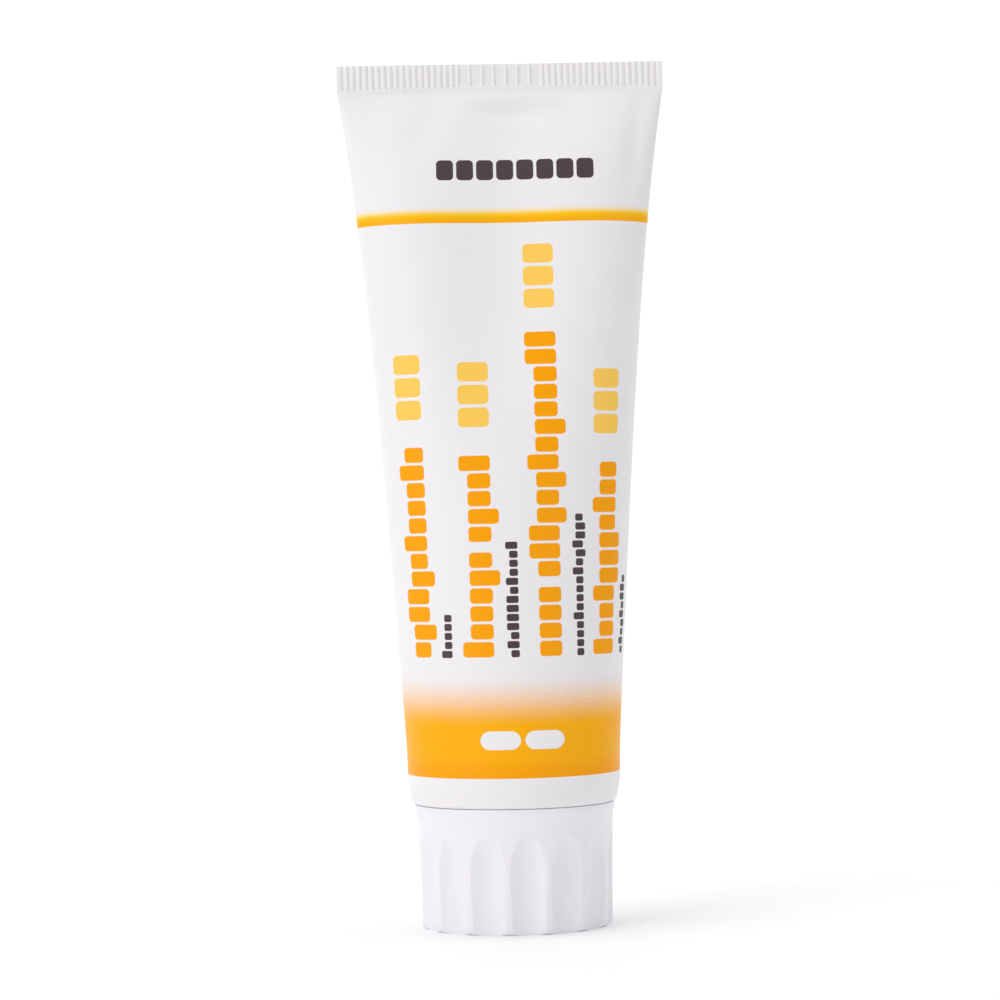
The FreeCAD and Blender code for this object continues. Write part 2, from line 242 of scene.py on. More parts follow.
def flare(share):
    """How far the half-width has grown from the round to the tail, from 0 to 1."""
    eased = share - FLARE_EASE * (1 - math.exp(-share / FLARE_EASE))
    even = eased / (1 - FLARE_EASE)
    return FLARE_LINEAR * even + FLARE_LATE * share**FLARE_POWER


def half_width(z):
    share = min(1.0, max(0.0, (z - ROUND_TOP) / (TAIL_BOTTOM - ROUND_TOP)))
    return RADIUS + (TAIL_HALF_WIDTH - RADIUS) * flare(share)


def ellipse_perimeter(a, b):
    h = ((a - b) / (a + b)) ** 2
    return math.pi * (a + b) * (1 + 3 * h / (10 + math.sqrt(4 - 3 * h)))


def half_depth(z):
    """Half the depth front to back. It keeps the sleeve's perimeter the same, apart from close
    to the seal, where the walls leave it as a wedge."""
    if z >= TAIL_BOTTOM:
        return TAIL_HALF_THICKNESS
    a = half_width(z) - WALL / 2
    low, high = 0.0, a
    for _ in range(HALVINGS):
        b = (low + high) / 2
        if ellipse_perimeter(a, b) < PERIMETER:
            low = b
        else:
            high = b
    wedge = TAIL_HALF_THICKNESS + WEDGE_SLOPE * (TAIL_BOTTOM - z)
    full = b + WALL / 2
    return max((full**-3 + wedge**-3) ** (-1 / 3), TAIL_HALF_THICKNESS)


def slack(z):
    """How far the walls of the part-empty top are drawn in, as a share of their depth."""
    return float(smoothstep(*SLACK_GROWS, z) * (1 - smoothstep(SLACK_FADES, TAIL_BOTTOM, z)))


def dents(x, z):
    """How far the front wall is pressed in: creases that start at the seal, and handling dents."""
    pressed = 0.0
    for depth, side, place, width, height, span, lean in DENTS:
        centre = side * half_width(z) + place
        leaning = x - lean * (LEAN_FROM - z)
        pressed += depth * hill(leaning, centre, width) * hill(z, height, span)
    return pressed * float(1 - smoothstep(TAIL_BOTTOM - DENTS_END, TAIL_BOTTOM, z))


def section(z, inset, count, radius=None):
    """A ring of equally spaced points round the sleeve, from the middle of the back, and how far
    each is from the middle of the front, measured round the sleeve. With a radius it's round."""
    phi = np.linspace(0, 2 * math.pi, SECTION_SAMPLES)
    if radius is not None:
        a = b = radius - inset
        give = 0.0
    else:
        a, b = half_width(z) - inset, half_depth(z)
        give = slack(z)
        b = b * (1 + SLACK_BULGE * give) - inset
    x = -a * np.sin(phi)
    front = np.cos(phi) < 0
    middle = hill(x, 0, SLACK_WIDTH * a)
    drawn_in = give * np.where(front, SLACK_FRONT, SLACK_BACK) * middle
    y = b * np.cos(phi) * (1 - drawn_in)
    flat = TAIL_HALF_THICKNESS * np.tanh(np.cos(phi) / 0.03)
    y = y + (flat - y) * float(smoothstep(TAIL_BOTTOM - 1.0, TAIL_BOTTOM, z))
    if radius is None:
        y = y + np.where(front, dents(x, z) * np.minimum(1, -4 * np.cos(phi)), 0)
    length = np.concatenate([[0], np.cumsum(np.hypot(np.diff(x), np.diff(y)))])
    steps = np.linspace(0, length[-1], count + 1)
    points = np.stack([np.interp(steps, length, x), np.interp(steps, length, y)], 1)
    rows = np.column_stack([points[:count], np.full(count, z)])
    return rows, steps - length[-1] / 2


def lap_seam(rows, along):
    """Raises the edge of the lapped weld that runs up the middle of the back."""
    from_seam = np.abs(np.abs(along[: len(rows)]) - along[-1])
    lift = LAP_HEIGHT * (1 - smoothstep(*LAP_EDGE, from_seam))
    outward = rows[:, :2] / np.maximum(np.linalg.norm(rows[:, :2], axis=1), 1e-6)[:, None]
    rows[:, :2] += outward * lift[:, None]
    return rows


def rib_relief(x, z):
    """How far the tail seal is pressed in: upright ribs, and blank cells in the middle."""
    away = np.abs(x)
    plain = CELLS * CELL_PITCH / 2
    phase = ((away - plain) / RIB_PITCH) % 1
    ribs = hill(phase, 0.5, RIB_WIDTH)
    in_cell = ((x + plain) / CELL_PITCH) % 1
    edge = 0.5 - np.abs(in_cell - 0.5)
    rise = z - TAIL_BOTTOM
    inside_cell = smoothstep(0.06, 0.13, edge) * smoothstep(0.5, 0.9, rise)
    cells = CELL_FLOOR + (1 - CELL_FLOOR) * inside_cell
    cells *= 1 - CELL_TOP_LOSS * smoothstep(*CELL_TOP, rise)
    relief = np.where(away > plain, ribs, np.minimum(cells, smoothstep(0.0, 0.1, edge)))
    lower = SEAL_ARCH * (1 - (x / TAIL_HALF_WIDTH) ** 2)
    start = smoothstep(lower + 0.05, lower + 0.3, rise)
    return RIB_DEPTH * relief * start * smoothstep(0.1, 0.6, TAIL_HALF_WIDTH - away)


def tail_ring(z):
    count = COLUMNS * FINE
    rows, along = section(z, 0, count)
    x = rows[:, 0]
    side = np.sign(rows[:, 1])
    lower = SEAL_ARCH * (1 - (x / TAIL_HALF_WIDTH) ** 2)
    bead = SEAL_BEAD * hill(z - TAIL_BOTTOM, lower, SEAL_BEAD_WIDTH)
    edge = smoothstep(0, 0.5, TAIL_HALF_WIDTH - np.abs(x))
    rows[:, 1] += side * (bead * edge - rib_relief(x, z))
    wave = SEAL_WAVE * np.sin(x * 0.16 + 0.6)
    rows[:, 1] += wave * smoothstep(0, TAIL_HEIGHT, z - TAIL_BOTTOM)
    return rows, along


def shoulder_profile():
    """The rounded lower end of the sleeve as (radius, height), from the welded edge up."""
    edge = (SHOULDER_WELD_R, SHOULDER_EDGE_Z - SHOULDER_WELD_DROP * SHOULDER_SLOPE)
    foot = (SHOULDER_FOOT[0], SHOULDER_EDGE_Z + SHOULDER_FOOT[1])
    outward, down = SHOULDER_CORNER_BULGE
    corner = ((foot[0] + edge[0]) / 2 + outward, (foot[1] + edge[1]) / 2 - down)
    bulge = ((RADIUS + foot[0]) / 2 + SHOULDER_SIDE_BULGE, (foot[1] + ROUND_TOP) / 2)
    low = arc_points(edge, corner, foot, 6)
    return low + arc_points(foot, bulge, (RADIUS, ROUND_TOP), 10)[1:]


def sleeve():
    skin = Skin()
    inner = np.linspace(INNER_TOP, ROUND_TOP, INNER_RINGS)
    first = skin.ring(*section(inner[0], WALL, COLUMNS))
    for z in inner[1:-1]:
        skin.ring(*section(z, WALL, COLUMNS))
    for radius, z in shoulder_profile()[:1:-2]:
        skin.ring(*section(z + INNER_CORNER_RISE, WALL, COLUMNS, radius))
    mouth_r, drop = MOUTH_EDGE
    skin.ring(*section(SHOULDER_EDGE_Z - drop, 0, COLUMNS, mouth_r))
    for radius, z in shoulder_profile():
        rows, along = section(z, 0, COLUMNS, radius)
        skin.ring(lap_seam(rows, along), along)
    lower = np.arange(ROUND_TOP + FIRST_RING_STEP, RING_STEP_CHANGE, RING_STEPS[0])
    upper = np.arange(RING_STEP_CHANGE, TAIL_BOTTOM, RING_STEPS[1])
    for z in np.concatenate([lower, upper]):
        rows, along = section(z, 0, COLUMNS)
        skin.ring(lap_seam(rows, along), along)
    for rise in SEAL_RISES:
        last = skin.ring(*tail_ring(TAIL_BOTTOM + rise))
    skin.close_across(first, up=False)
    skin.close_across(last, up=True)
    return skin.make("tube_sleeve_print", sharp=50.0)


PASTE_COLUMNS = 96
PASTE_RINGS = 60
PASTE_GAP = 0.08  # between the paste and the wall
PASTE_END_GAP = 0.06  # to the foil, and to the edge of the barrier disc
PASTE_NOZZLE_R = 3.44
PASTE_NOZZLE_MIDDLE = 8.0
PASTE_OVER_NECK = 0.2
PASTE_OVER_BARRIER = 0.1
PASTE_CROWN = 1.5  # room left for the uneven top under the stated level
PASTE_CROWN_RINGS = ((0.5, 0.0), (0.8, -0.8), (0.95, -1.0))  # how far in, and how far up
PASTE_CROWN_BASE = 1.0
PASTE_CROWN_WAVE = (0.5, 0.7)  # height, and radians to a millimetre across
PASTE_CROWN_DIP = 1.6  # of the crown's middle under the stated level


def paste():
    """The contents, which fill the nozzle, lie on the shoulder and stop short of the tail."""
    skin = Skin()
    gap = WALL + PASTE_GAP
    cone_r = BARRIER_HIGH.x - PASTE_END_GAP
    bottom = SEAL_HIGH.z + PASTE_END_GAP
    level = PASTE_HIGH.z - PASTE_CROWN
    profile = (
        (PASTE_NOZZLE_R, bottom),
        (PASTE_NOZZLE_R, PASTE_NOZZLE_MIDDLE),
        (PASTE_NOZZLE_R, BARRIER_LOW.z + PASTE_OVER_NECK),
        (cone_r, BARRIER_HIGH.z + PASTE_OVER_BARRIER),
        (cone_r, ROUND_TOP),
    )
    first = None
    for radius, z in profile:
        ring = skin.ring(*section(z, 0, PASTE_COLUMNS, radius))
        first = first or ring
    for z in np.linspace(ROUND_TOP + 0.1, level, PASTE_RINGS):
        skin.ring(*section(z, gap, PASTE_COLUMNS))
    wave_height, wave_rate = PASTE_CROWN_WAVE
    for shrink, rise in PASTE_CROWN_RINGS:
        rows, along = section(level, gap, PASTE_COLUMNS)
        rows[:, :2] *= 1 - shrink
        wave = wave_height * np.sin(rows[:, 0] * wave_rate)
        rows[:, 2] += rise + PASTE_CROWN_BASE + wave
        last = skin.ring(rows, along)
    skin.close_point(first, (0, 0, bottom), first=True)
    skin.close_point(last, (0, 0, PASTE_HIGH.z - PASTE_CROWN_DIP), first=False)
    return skin.make("paste_body")


# ---- cap -----------------------------------------------------------------------------------

CAP_COLUMNS = 540
CAP_TOP = CAP_HIGH.z
CAP_BASE_R = 14.4
CAP_WALL_TOP_R = 14.75
CAP_RIM_R = 15.05
CAP_BASE_CHAMFER = 0.45
CAP_RIM_CHAMFER = 0.12
CAP_RIM_STEP = 0.03
CAP_RIM_FLARE = (2.2, 0.8)  # under the top, where the wall starts and ends widening to the rim
CAP_WALL_BEND = (0.16, 8.0)  # how much wider the wall is at this height than at its base
CAP_RECESS = (10.0, 0.3)
CAP_GATE = (1.5, 0.55)
CAP_GATE_START_R = 0.7
CAP_FLOOR = 1.4
CAP_INSIDE_R = 12.5
CAP_LIP_DROP = 0.3
FLUTES = 15
FLUTE_FIRST_ANGLE = math.radians(-84.3)
FLUTE_R = 4.3
FLUTE_DEPTH = 0.95
FLUTE_STRAIGHT_TOP = 8.8
FLUTE_RUNOUT_R = 12.7
FLUTE_RUNOUT_SHARE = 0.75  # above this share of the runout's radius the wall is plain
FLUTE_EDGE_ROUNDING = 0.16
BORE_R = 6.62
THREAD_PITCH = 3.0
THREAD_START = 6.1
THREAD_TURNS = 1.5
THREAD_HEIGHT = 0.75
THREAD_HALF_WIDTH = 0.7
THREAD_FLANK = 0.3
THREAD_RUNOUT = 0.04  # of a turn, at each end
INNER_SLEEVE_R = 8.0
INNER_SLEEVE_TOP = 12.9
INNER_RIBS = 6
INNER_RIB_TOP = 9.5
INNER_RIB_FIRST_ANGLE = math.radians(30)


def rounded_path(corners):
    """A path through corners given as (radius, height, rounding, step): each corner is rounded,
    and each run after a corner is divided so that no step is longer than its step."""
    here = [np.array(c[:2], float) for c in corners]
    path = [tuple(here[0])]
    for i in range(1, len(corners)):
        step = corners[i - 1][3]
        target, after = here[i], []
        if i + 1 < len(corners) and corners[i][2] > 0:
            back = here[i - 1] - here[i]
            ahead = here[i + 1] - here[i]
            reach = min(corners[i][2], np.linalg.norm(back) / 2.2, np.linalg.norm(ahead) / 2.2)
            target = here[i] + back / np.linalg.norm(back) * reach
            leave = here[i] + ahead / np.linalg.norm(ahead) * reach
            for t in (0.25, 0.5, 0.75, 1.0):
                after.append((1 - t) ** 2 * target + 2 * t * (1 - t) * here[i] + t * t * leave)
        start = np.array(path[-1])
        count = max(1, math.ceil(np.linalg.norm(target - start) / step))
        path += [tuple(start + (target - start) * k / count) for k in range(1, count + 1)]
        path += [tuple(p) for p in after]
    return path


def fluted(radius, z, theta):
    """The cap's outside radius where the flutes are cut into a wall of this radius."""
    spacing = 2 * math.pi / FLUTES
    off = (theta - FLUTE_FIRST_ANGLE + spacing / 2) % spacing - spacing / 2
    above = max(0.0, z - FLUTE_STRAIGHT_TOP)
    if above >= FLUTE_RUNOUT_R * FLUTE_RUNOUT_SHARE:
        return np.full(len(theta), radius)
    out = FLUTE_RUNOUT_R - math.sqrt(FLUTE_RUNOUT_R**2 - above**2)
    axis_r = CAP_BASE_R - FLUTE_DEPTH + FLUTE_R + out
    inside = FLUTE_R**2 - (axis_r * np.sin(off)) ** 2
    cut = axis_r * np.cos(off) - np.sqrt(np.maximum(inside, 0))
    cut = np.where(inside > 0, cut, radius + 5)
    near = np.clip(0.5 + 0.5 * (cut - radius) / FLUTE_EDGE_ROUNDING, 0, 1)
    return cut + (radius - cut) * near - FLUTE_EDGE_ROUNDING * near * (1 - near)


def thread_relief(z, theta):
    """How far the cap's thread stands in from its bore at a height."""
    turn = theta / (2 * math.pi)
    lead = (z - THREAD_START) / THREAD_PITCH - turn
    nearest = np.round(lead)
    off = np.abs(lead - nearest) * THREAD_PITCH
    along = turn + nearest
    flank = np.clip((THREAD_HALF_WIDTH - off) / THREAD_FLANK, 0, 1)
    begins = np.clip(along / THREAD_RUNOUT, 0, 1)
    ends = begins * np.clip((THREAD_TURNS - along) / THREAD_RUNOUT, 0, 1)
    return THREAD_HEIGHT * flank * flank * (3 - 2 * flank) * ends


def inner_rib_top(theta, radius):
    """Height of the floor between the cap's walls: six upright ribs stand on it."""
    spacing = 2 * math.pi / INNER_RIBS
    off = (theta - INNER_RIB_FIRST_ANGLE + spacing / 2) % spacing - spacing / 2
    away = np.abs(off) * radius
    return CAP_FLOOR + (INNER_RIB_TOP - CAP_FLOOR) * (1 - smoothstep(0.38, 0.52, away))


def cap_paths():
    """The cap's profile from the gate mark to the middle of its floor, in three runs."""
    lip = CAP_TOP - (CAP_RIM_R - CAP_RIM_CHAMFER - CAP_INSIDE_R) * SHOULDER_SLOPE
    recess_r, recess_z = CAP_RECESS
    gate_r, gate_z = CAP_GATE
    wider, bend_z = CAP_WALL_BEND
    flare_from, flare_to = CAP_RIM_FLARE
    outside = rounded_path(
        [
            (CAP_GATE_START_R, gate_z, 0, 0.8),
            (gate_r, gate_z, 0.08, 0.5),
            (gate_r, recess_z, 0.08, 4),
            (recess_r, recess_z, 0.15, 0.5),
            (recess_r, 0.0, 0.15, 1.2),
            (CAP_BASE_R - CAP_BASE_CHAMFER, 0.0, 0.2, 0.5),
            (CAP_BASE_R, CAP_BASE_CHAMFER, 0.35, 0.8),
            (CAP_BASE_R + wider, bend_z, 0, 0.25),
            (CAP_WALL_TOP_R, CAP_TOP - flare_from, 0.6, 0.5),
            (CAP_RIM_R, CAP_TOP - flare_to, 0.4, 0.3),
            (CAP_RIM_R, CAP_TOP - CAP_RIM_STEP, 0.08, 0.3),
            (CAP_RIM_R - CAP_RIM_CHAMFER, CAP_TOP, 0.06, 1),
            (CAP_INSIDE_R, lip, 0.2, 1),
        ]
    )
    well = rounded_path(
        [
            (CAP_INSIDE_R, lip - CAP_LIP_DROP, 0, 1.6),
            (CAP_INSIDE_R, CAP_FLOOR, 0.4, 0.9),
            (INNER_SLEEVE_R, CAP_FLOOR, 0.4, 1.6),
            (INNER_SLEEVE_R, INNER_SLEEVE_TOP, 0.25, 0.5),
            (BORE_R, INNER_SLEEVE_TOP, 0.15, 0.2),
            (BORE_R, INNER_SLEEVE_TOP - 0.5, 0, 0.2),
        ]
    )
    bore = [(BORE_R, z) for z in np.arange(12.2, 4.9, -0.14)]
    bore += [(BORE_R, 3.2), (BORE_R, CAP_FLOOR + 0.1), (BORE_R - 0.1, CAP_FLOOR)]
    bore += [(3.0, CAP_FLOOR), (0.6, CAP_FLOOR)]
    return ("outside", outside), ("well", well), ("bore", bore)


def cap():
    theta = 2 * math.pi * np.arange(CAP_COLUMNS) / CAP_COLUMNS
    turn = np.stack([np.cos(theta), np.sin(theta)], 1)
    skin = Skin()
    first = None
    for kind, path in cap_paths():
        for radius, z in path:
            radii = np.full(CAP_COLUMNS, radius)
            heights = np.full(CAP_COLUMNS, z)
            if kind == "outside" and radius > CAP_INSIDE_R + 0.4 and z < CAP_TOP - 0.9:
                radii = fluted(radius, z, theta)
            if kind == "well" and radius > BORE_R + 0.1:
                heights = np.maximum(heights, inner_rib_top(theta, radius))
            if kind == "bore" and radius == BORE_R:
                radii = radii - thread_relief(z, theta)
            ring = skin.ring(np.column_stack([turn * radii[:, None], heights]))
            first = first or ring
    skin.close_point(first, (0, 0, CAP_GATE[1]), first=True)
    skin.close_point(ring, (0, 0, CAP_FLOOR), first=False)
    return skin.make("fluted_cap", sharp=40.0)


# ---- materials -----------------------------------------------------------------------------


class Nodes:
    """Short calls that add shader nodes to one material and give back their outputs."""

    def __init__(self, name):
        self.material = bpy.data.materials.new(name)
        self.material.use_nodes = True
        self.tree = self.material.node_tree
        self.shader = self.tree.nodes["Principled BSDF"]

    def add(self, kind, **settings):
        node = self.tree.nodes.new(kind)
        for key, value in settings.items():
            setattr(node, key, value)
        return node

    def feed(self, value, socket):
        if isinstance(value, bpy.types.NodeSocket):
            self.tree.links.new(value, socket)
        else:
            socket.default_value = value

    def math(self, operation, *values, clamp=False):
        node = self.add("ShaderNodeMath", operation=operation, use_clamp=clamp)
        for value, socket in zip(values, node.inputs):
            self.feed(value, socket)
        return node.outputs[0]

    def plus(self, a, b):
        return self.math("ADD", a, b)

    def minus(self, a, b):
        return self.math("SUBTRACT", a, b)

    def times(self, a, b):
        return self.math("MULTIPLY", a, b)

    def larger(self, a, b):
        return self.math("MAXIMUM", a, b)

    def ease(self, value, low, high):
        """0 below low and 1 above high, with a soft step between. low may be the larger."""
        node = self.add("ShaderNodeMapRange", interpolation_type="SMOOTHSTEP")
        for item, socket in zip((value, low, high, 0.0, 1.0), node.inputs):
            self.feed(item, socket)
        return node.outputs[0]

    def spread(self, value, low, high):
        """Stretches a value from 0 to 1 so that it runs from low to high."""
        node = self.add("ShaderNodeMapRange")
        for item, socket in zip((value, 0.0, 1.0, low, high), node.inputs):
            self.feed(item, socket)
        return node.outputs[0]

    def split(self, vector):
        node = self.add("ShaderNodeSeparateXYZ")
        self.feed(vector, node.inputs[0])
        return node.outputs

    def combine(self, x, y, z):
        node = self.add("ShaderNodeCombineXYZ")
        for value, socket in zip((x, y, z), node.inputs):
            self.feed(value, socket)
        return node.outputs[0]

    def where(self):
        return self.add("ShaderNodeTexCoord").outputs["Object"]

    def noise(self, where, scale, detail=2.0, roughness=0.5):
        node = self.add("ShaderNodeTexNoise")
        self.feed(where, node.inputs["Vector"])
        node.inputs["Scale"].default_value = scale
        node.inputs["Detail"].default_value = detail
        node.inputs["Roughness"].default_value = roughness
        return node.outputs[0]

    def mix(self, share, a, b):
        node = self.add("ShaderNodeMix", data_type="RGBA")
        self.feed(share, node.inputs[0])
        for value, socket in ((a, node.inputs[6]), (b, node.inputs[7])):
            self.feed(value if isinstance(value, bpy.types.NodeSocket) else (*value, 1.0), socket)
        return node.outputs[2]

    def bump(self, height, distance, strength=1.0):
        node = self.add("ShaderNodeBump")
        node.inputs["Strength"].default_value = strength
        node.inputs["Distance"].default_value = distance
        self.feed(height, node.inputs["Height"])
        self.feed(node.outputs[0], self.shader.inputs["Normal"])

    def finish(self, color, roughness, **constants):
        self.feed(color, self.shader.inputs["Base Color"])
        self.feed(roughness, self.shader.inputs["Roughness"])
        for key, value in constants.items():
            name = key.replace("_", " ").title().replace("Ior", "IOR")
            self.shader.inputs[name].default_value = value
        return self.material


# The print, in millimetres round the sleeve from the middle of the front, and up it
WHITE = (0.80, 0.778, 0.798)
WHITE_LIGHTER = (0.815, 0.793, 0.812)
INK = (0.075, 0.052, 0.06)
ORANGE = (0.90, 0.345, 0.0)
YELLOW = (0.97, 0.66, 0.01)
PALE_ORANGE = (0.93, 0.57, 0.10)
WIDE_BAND = (23.1, 30.6, 38.6)  # crisp lower edge, full colour, end of the fade
THIN_BAND = (105.35, 106.5, 107.9)
DEEPER = (34.0, 23.0)  # the wide band's yellow turns to orange down these heights
THIN_DEEPER = (107.6, 105.6)
BADGE_V = 111.9
MARK_V = 27.3
SMALL_ROW_OFFSET = 3.75
WORD_SPACE = 0.45  # of a block's pitch
COLUMN_BASES = (-13.1, -2.9, 7.3, 17.5)
COLUMN_START = 40.6
BIG = dict(pitch=2.62, gap=0.38, low=3.45, high=4.7, tail=1.15)
SMALL = dict(pitch=1.32, gap=0.26, low=1.25, high=1.8, tail=0.42)
LIGHT = dict(pitch=3.4, gap=0.5, low=4.6, high=4.6, tail=0.0)
BADGE = dict(pitch=3.02, gap=0.45, low=3.1, high=3.1, tail=0.0)
MARK = dict(pitch=6.65, gap=0.6, low=2.7, high=2.7, tail=0.0)
TALL_ABOVE = 0.68  # a block is tall, or hangs down, where its random draw is past these
DEEP_BELOW = 0.16
CORNER_SHARE = 0.22  # of a block's pitch
EDGE_BLUR = 0.03
# Greeked rows in each column: blocks in each word of the main row, the height at which the lighter
# row starts, and the blocks in the small row
ROWS = (
    ((12,), 75.7, 5),
    ((6, 5), 74.4, 13),
    ((4, 14), 92.1, 16),
    ((11,), 73.2, 9),
)


def greeked_row(n, along, across, start, count, pitch, gap, low, high, tail, seed):
    """A row of rounded blocks that stands where a word was: no letters, only its rhythm."""
    place = n.math("DIVIDE", n.minus(along, start), pitch)
    cell = n.math("FLOOR", place)
    from_middle = n.times(n.math("ABSOLUTE", n.minus(n.minus(place, cell), 0.5)), pitch)
    pick = n.add("ShaderNodeTexWhiteNoise", noise_dimensions="1D")
    n.feed(n.plus(cell, seed), pick.inputs["W"])
    tall = n.math("GREATER_THAN", pick.outputs[0], TALL_ABOVE)
    deep = n.math("LESS_THAN", pick.outputs[0], DEEP_BELOW)
    top = n.plus(n.times(tall, high - low), low)
    bottom = n.times(deep, -tail)
    middle = n.times(n.plus(top, bottom), 0.5)
    half = n.times(n.minus(top, bottom), 0.5)
    corner = CORNER_SHARE * pitch
    side = n.larger(n.minus(from_middle, (pitch - gap) / 2 - corner), 0.0)
    rise = n.minus(n.math("ABSOLUTE", n.minus(across, middle)), n.minus(half, corner))
    rise = n.larger(rise, 0.0)
    distance = n.math("SQRT", n.plus(n.times(side, side), n.times(rise, rise)))
    block = n.ease(distance, corner + EDGE_BLUR, corner - EDGE_BLUR)
    inside = n.times(n.math("GREATER_THAN", place, 0.0), n.math("LESS_THAN", place, float(count)))
    return n.times(block, inside)


def print_ink(n, u, v):
    """Shares of orange, pale and dark ink over the sleeve, apart from the bands."""
    orange, pale, dark = None, None, None
    for number, (base, (words, light_start, small)) in enumerate(zip(COLUMN_BASES, ROWS)):
        across = n.minus(base, u)
        start = COLUMN_START
        for word, blocks in enumerate(words):
            row = greeked_row(n, v, across, start, blocks, seed=7.3 * number + 31.7 * word, **BIG)
            orange = n.larger(orange, row) if orange else row
            start += (blocks + WORD_SPACE) * BIG["pitch"]
        row = greeked_row(n, v, across, light_start, 3, seed=101.0 + number, **LIGHT)
        pale = n.larger(pale, row) if pale else row
        lower = n.minus(base + SMALL_ROW_OFFSET, u)
        row = greeked_row(n, v, lower, COLUMN_START, small, seed=57.1 + 9.1 * number, **SMALL)
        dark = n.larger(dark, row) if dark else row
    badge = greeked_row(n, u, n.minus(v, BADGE_V), -10.2, 8, seed=3.0, **BADGE)
    return orange, pale, n.larger(dark, badge)


def printed_laminate():
    n = Nodes("printed_laminate")
    place = n.add("ShaderNodeAttribute", attribute_name="place").outputs["Vector"]
    u, v, _ = n.split(place)
    orange, pale, dark = print_ink(n, u, v)
    screen = n.noise(n.combine(u, v, 0.0), 4.0, detail=1.0)
    grain = n.spread(screen, -0.65, 0.65)
    fade = n.ease(v, WIDE_BAND[2], WIDE_BAND[1])
    soft = n.math("MULTIPLY", n.minus(fade, n.times(fade, fade)), grain)
    wide = n.math("ADD", fade, n.times(soft, 2.2), clamp=True)
    wide = n.times(wide, n.ease(v, WIDE_BAND[0] - 0.04, WIDE_BAND[0] + 0.04))
    thin = n.ease(v, THIN_BAND[2], THIN_BAND[1])
    thin = n.times(thin, n.ease(v, THIN_BAND[0] - 0.05, THIN_BAND[0] + 0.05))
    mark = greeked_row(n, u, n.minus(v, MARK_V), -5.6, 2, seed=11.0, **MARK)
    bands = n.larger(n.times(wide, n.minus(1.0, mark)), thin)
    depth = n.ease(v, *DEEPER)
    depth = n.larger(depth, n.times(n.ease(v, *THIN_DEEPER), 0.8))
    band_color = n.mix(depth, YELLOW, ORANGE)
    cloud = n.noise(n.where(), 60.0, detail=3.0)
    color = n.mix(cloud, WHITE, WHITE_LIGHTER)
    color = n.mix(bands, color, band_color)
    color = n.mix(orange, color, ORANGE)
    color = n.mix(pale, color, PALE_ORANGE)
    color = n.mix(dark, color, INK)
    inked = n.larger(n.larger(bands, orange), n.larger(pale, dark))
    smear = n.spread(n.noise(n.where(), 240.0, detail=4.0), 0.30, 0.42)
    roughness = n.plus(smear, n.times(inked, 0.05))
    peel = n.noise(n.where(), 900.0, detail=3.0)
    n.bump(n.plus(peel, n.times(inked, 0.15)), 0.000012, 0.5)
    return n.finish(color, roughness, specular_ior_level=0.12)


def moulded_white(name, color, rough, peel_scale):
    """Injection-moulded white plastic with faint flow marks and fine tool texture."""
    n = Nodes(name)
    x, y, z = n.split(n.where())
    flow = n.noise(n.combine(n.times(x, 2.0), n.times(y, 2.0), n.times(z, 0.35)), 90.0, 4.0, 0.6)
    darker = tuple(c * 0.955 for c in color)
    fine = n.noise(n.where(), peel_scale, 3.0)
    n.bump(n.plus(fine, n.times(flow, 0.6)), 0.00002, 0.4)
    roughness = n.spread(n.noise(n.where(), 350.0, 5.0), rough - 0.05, rough + 0.07)
    shade = n.mix(flow, darker, color)
    return n.finish(shade, roughness, subsurface_weight=0.12, subsurface_scale=0.001)


def foam():
    n = Nodes("liner_foam")
    cells = n.add("ShaderNodeTexVoronoi", feature="F1")
    n.feed(n.where(), cells.inputs["Vector"])
    cells.inputs["Scale"].default_value = 2600.0
    n.bump(cells.outputs["Distance"], 0.00008, 0.8)
    color = n.mix(cells.outputs["Distance"], (0.84, 0.84, 0.80), (0.70, 0.70, 0.66))
    return n.finish(color, n.spread(n.noise(n.where(), 500.0), 0.7, 0.9))


def foil(name, color, rough):
    """Rolled foil: fine lines one way and faint wrinkles."""
    n = Nodes(name)
    x, y, z = n.split(n.where())
    lines = n.noise(n.combine(n.times(x, 30.0), y, z), 160.0, 3.0)
    wrinkles = n.noise(n.where(), 420.0, 2.0)
    n.bump(n.plus(wrinkles, n.times(lines, 0.3)), 0.00006, 0.6)
    darker = tuple(c * 0.86 for c in color)
    roughness = n.spread(lines, rough, rough + 0.14)
    return n.finish(n.mix(lines, darker, color), roughness, metallic=1.0)


def gritty_paste():
    n = Nodes("paste")
    grit = n.noise(n.where(), 3200.0, 2.0)
    smear = n.noise(n.where(), 160.0, 4.0)
    n.bump(n.plus(smear, n.times(grit, 0.4)), 0.0002, 0.6)
    color = n.mix(smear, (0.80, 0.52, 0.22), (0.88, 0.63, 0.33))
    roughness = n.spread(grit, 0.22, 0.4)
    return n.finish(color, roughness, subsurface_weight=0.2, subsurface_scale=0.002)


def paint(piece, material):
    piece.data.materials.clear()
    piece.data.materials.append(material)


# ---- stage ---------------------------------------------------------------------------------


def backdrop():
    """A pale floor that turns up behind the tube in one wide curve."""
    rise_at, radius, half_width_m, front = 0.75, 0.35, 2.2, -1.6
    profile = [(front, 0.0), (rise_at - radius, 0.0)]
    for i in range(1, 13):
        t = math.pi / 2 * i / 12
        profile.append((rise_at - radius + radius * math.sin(t), radius * (1 - math.cos(t))))
    profile.append((rise_at, 2.4))
    points = [(x, y, z) for y, z in profile for x in (-half_width_m, half_width_m)]
    faces = [(2 * i, 2 * i + 1, 2 * i + 3, 2 * i + 2) for i in range(len(profile) - 1)]
    mesh = bpy.data.meshes.new("floor")
    mesh.from_pydata(points, [], faces)
    mesh.shade_smooth()
    floor = bpy.data.objects.new("floor", mesh)
    bpy.context.scene.collection.objects.link(floor)
    n = Nodes("floor_paper")
    paper = n.noise(n.where(), 30.0, 3.0)
    paint(floor, n.finish(n.mix(paper, (0.90, 0.90, 0.90), (0.92, 0.92, 0.92)), 0.8))


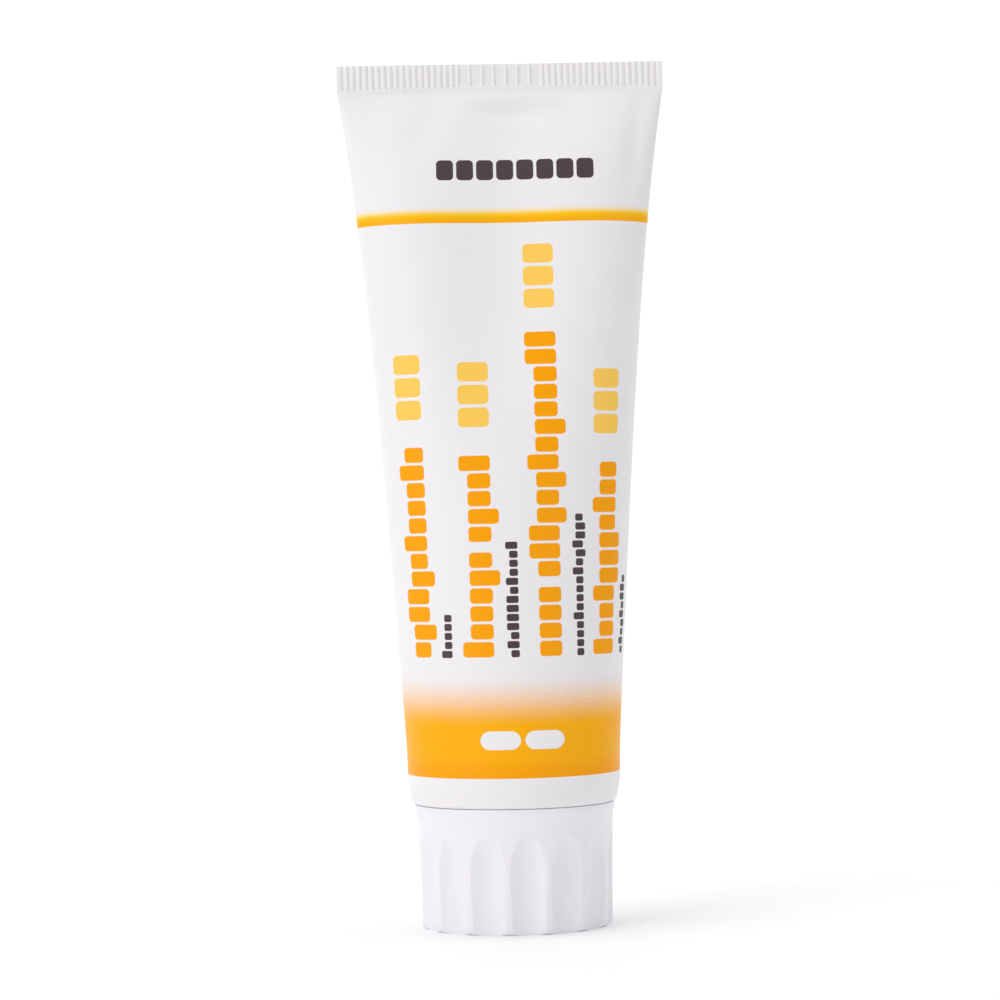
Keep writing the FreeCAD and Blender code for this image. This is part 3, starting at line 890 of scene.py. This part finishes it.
def area_light(name, place, target, size, power, tint=(1.0, 1.0, 1.0)):
    light = bpy.data.lights.new(name, "AREA")
    light.shape = "RECTANGLE"
    light.size, light.size_y = size
    light.energy = power
    light.color = tint
    lamp = bpy.data.objects.new(name, light)
    lamp.location = place
    lamp.rotation_euler = (Vector(target) - Vector(place)).to_track_quat("-Z", "Y").to_euler()
    bpy.context.scene.collection.objects.link(lamp)


def lighting():
    middle = (0, 0, 0.065)
    area_light("key", (-0.75, -0.55, 0.5), middle, (0.7, 0.9), 5.1, (1.0, 0.993, 1.0))
    area_light("fill", (0.85, -0.7, 0.25), middle, (0.8, 0.9), 2.7)
    area_light("top", (0.0, 0.1, 1.3), (0, 0, 0), (1.4, 1.4), 2.4)
    area_light("backdrop_wash", (0.0, 0.1, 1.1), (0, 0.75, 0.4), (1.6, 0.5), 6.5)
    world = bpy.data.worlds.new("studio")
    world.use_nodes = True
    world.node_tree.nodes["Background"].inputs[0].default_value = (0.97, 0.98, 1.0, 1.0)
    world.node_tree.nodes["Background"].inputs[1].default_value = 0.42
    bpy.context.scene.world = world
    bpy.context.scene.view_settings.view_transform = "Standard"


def camera():
    """A long lens nearly level with the middle of the tube, turned and rolled a little."""
    azimuth, pan, tilt, roll = (math.radians(a) for a in (-1.48, 0.157, 0.885, -1.188))
    distance, height, lens = 0.4587, 0.0569, 109.3
    place = Vector((distance * math.sin(azimuth), -distance * math.cos(azimuth), height))
    level = Matrix.Rotation(pan, 3, "Z") @ Vector((-math.sin(azimuth), math.cos(azimuth), 0))
    look = level * math.cos(tilt) + Vector((0, 0, math.sin(tilt)))
    right = look.cross(Vector((0, 0, 1))).normalized()
    up = right.cross(look)
    turned = (
        right * math.cos(roll) + up * math.sin(roll),
        up * math.cos(roll) - right * math.sin(roll),
        -look,
    )
    data = bpy.data.cameras.new("camera")
    data.lens = lens
    data.sensor_width = 36
    data.clip_start = 0.01
    shot = bpy.data.objects.new("camera", data)
    shot.matrix_world = Matrix.Translation(place) @ Matrix(turned).transposed().to_4x4()
    bpy.context.scene.collection.objects.link(shot)
    bpy.context.scene.camera = shot


# ---- assembly ------------------------------------------------------------------------------

camera()
backdrop()
lighting()

sleeve_piece = sleeve()
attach(sleeve_piece, "tube")
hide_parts("tube_sleeve")
paint(sleeve_piece, printed_laminate())

paste_piece = paste()
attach(paste_piece, "tube")
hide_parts("paste_fill")
paint(paste_piece, gritty_paste())

cap_piece = cap()
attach(cap_piece, "cap")
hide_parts("screw_cap")
paint(cap_piece, moulded_white("cap_plastic", (0.835, 0.82, 0.865), 0.38, 1500.0))

paint(nodes["tube_head"], moulded_white("head_plastic", (0.78, 0.78, 0.78), 0.45, 900.0))
paint(nodes["cap_liner"], foam())
paint(nodes["mouth_seal"], foil("seal_foil", (0.80, 0.80, 0.81), 0.16))
paint(nodes["shoulder_barrier"], foil("barrier_laminate", (0.74, 0.75, 0.76), 0.34))
